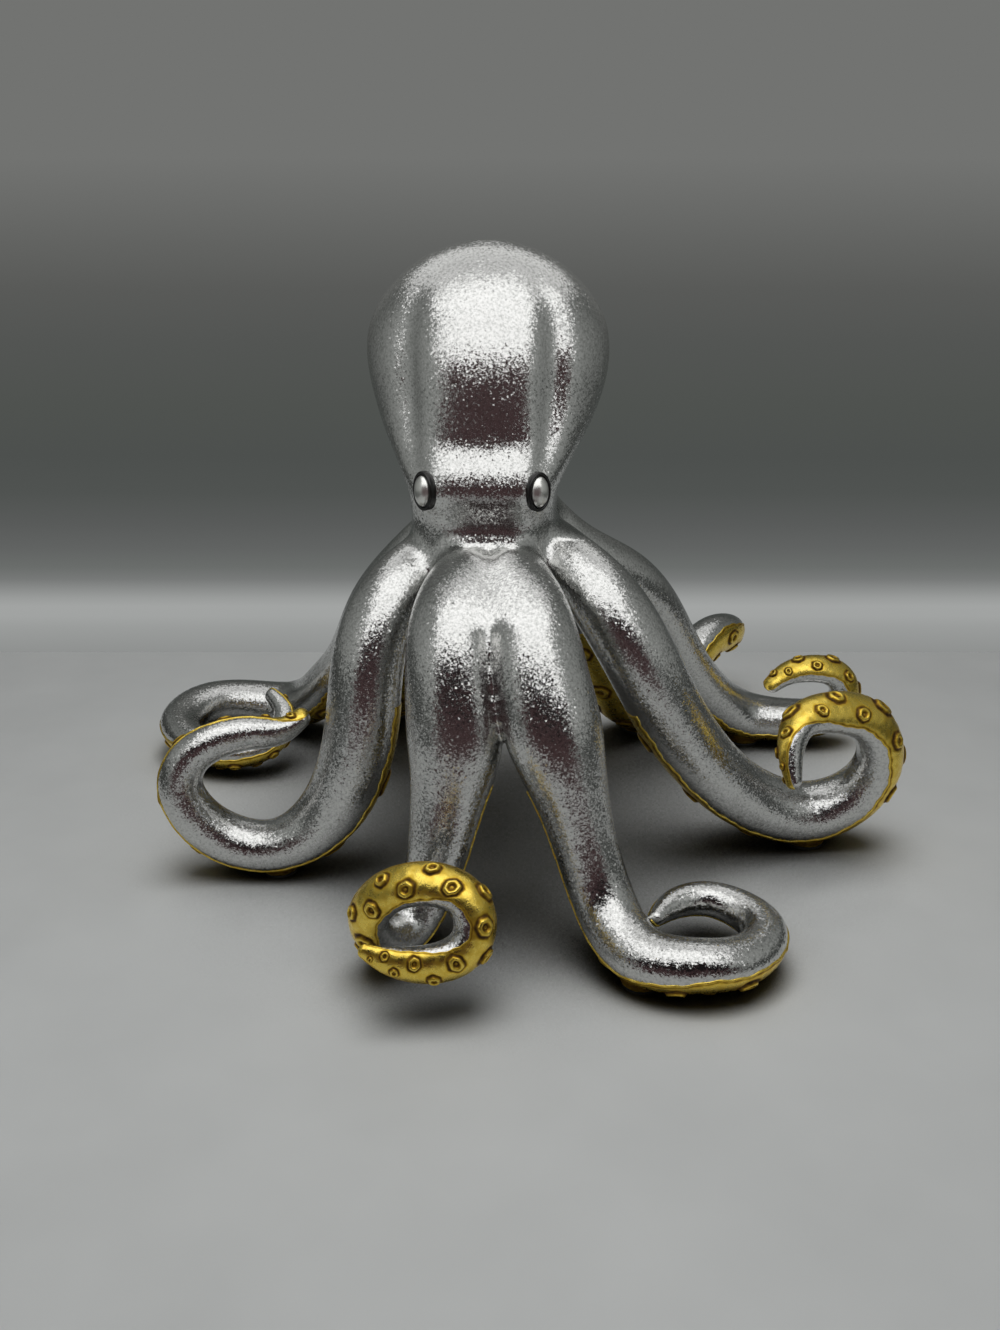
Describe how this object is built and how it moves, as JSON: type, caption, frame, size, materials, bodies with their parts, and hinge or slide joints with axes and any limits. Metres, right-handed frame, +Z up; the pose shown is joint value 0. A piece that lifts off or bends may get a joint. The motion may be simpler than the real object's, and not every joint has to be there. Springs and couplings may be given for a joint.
{
  "type": "octopus figurine",
  "caption": "Standing octopus ornament: a domed head on arms that splay out, touch down and curl up, silver above with gold sucker faces below",
  "frame": {"origin": "on the table, under the middle of the whole ornament", "axes": "+Z up; the face looks along -Y; +X is to the viewer's right"},
  "size_m": [0.2988, 0.277, 0.205],
  "materials": {
    "silver_finish": "satin metallised resin",
    "gold_finish": "antiqued gold paint",
    "eye_silver": "polished",
    "eye_ring": "dark enamel line",
    "dowel": "plain",
    "felt": "felt"
  },
  "bodies": {
    "root": {"body": "silver_finish", "arm_front_left": "silver_finish", "arm_front_right": "silver_finish", "arm_left": "silver_finish", "arm_right": "silver_finish", "arm_rear_left": "silver_finish", "arm_rear_right": "silver_finish", "arm_back_right": "silver_finish", "arm_back_left": "silver_finish", "suckers_front_left": "gold_finish", "suckers_front_right": "gold_finish", "suckers_left": "gold_finish", "suckers_right": "gold_finish", "suckers_rear_left": "gold_finish", "suckers_rear_right": "gold_finish", "suckers_back_right": "gold_finish", "suckers_back_left": "gold_finish", "eye_left": "eye_silver", "eye_right": "eye_silver", "eye_ring_left": "eye_ring", "eye_ring_right": "eye_ring", "dowels": "dowel", "felt_pads": "felt"}
  },
  "joints": []
}
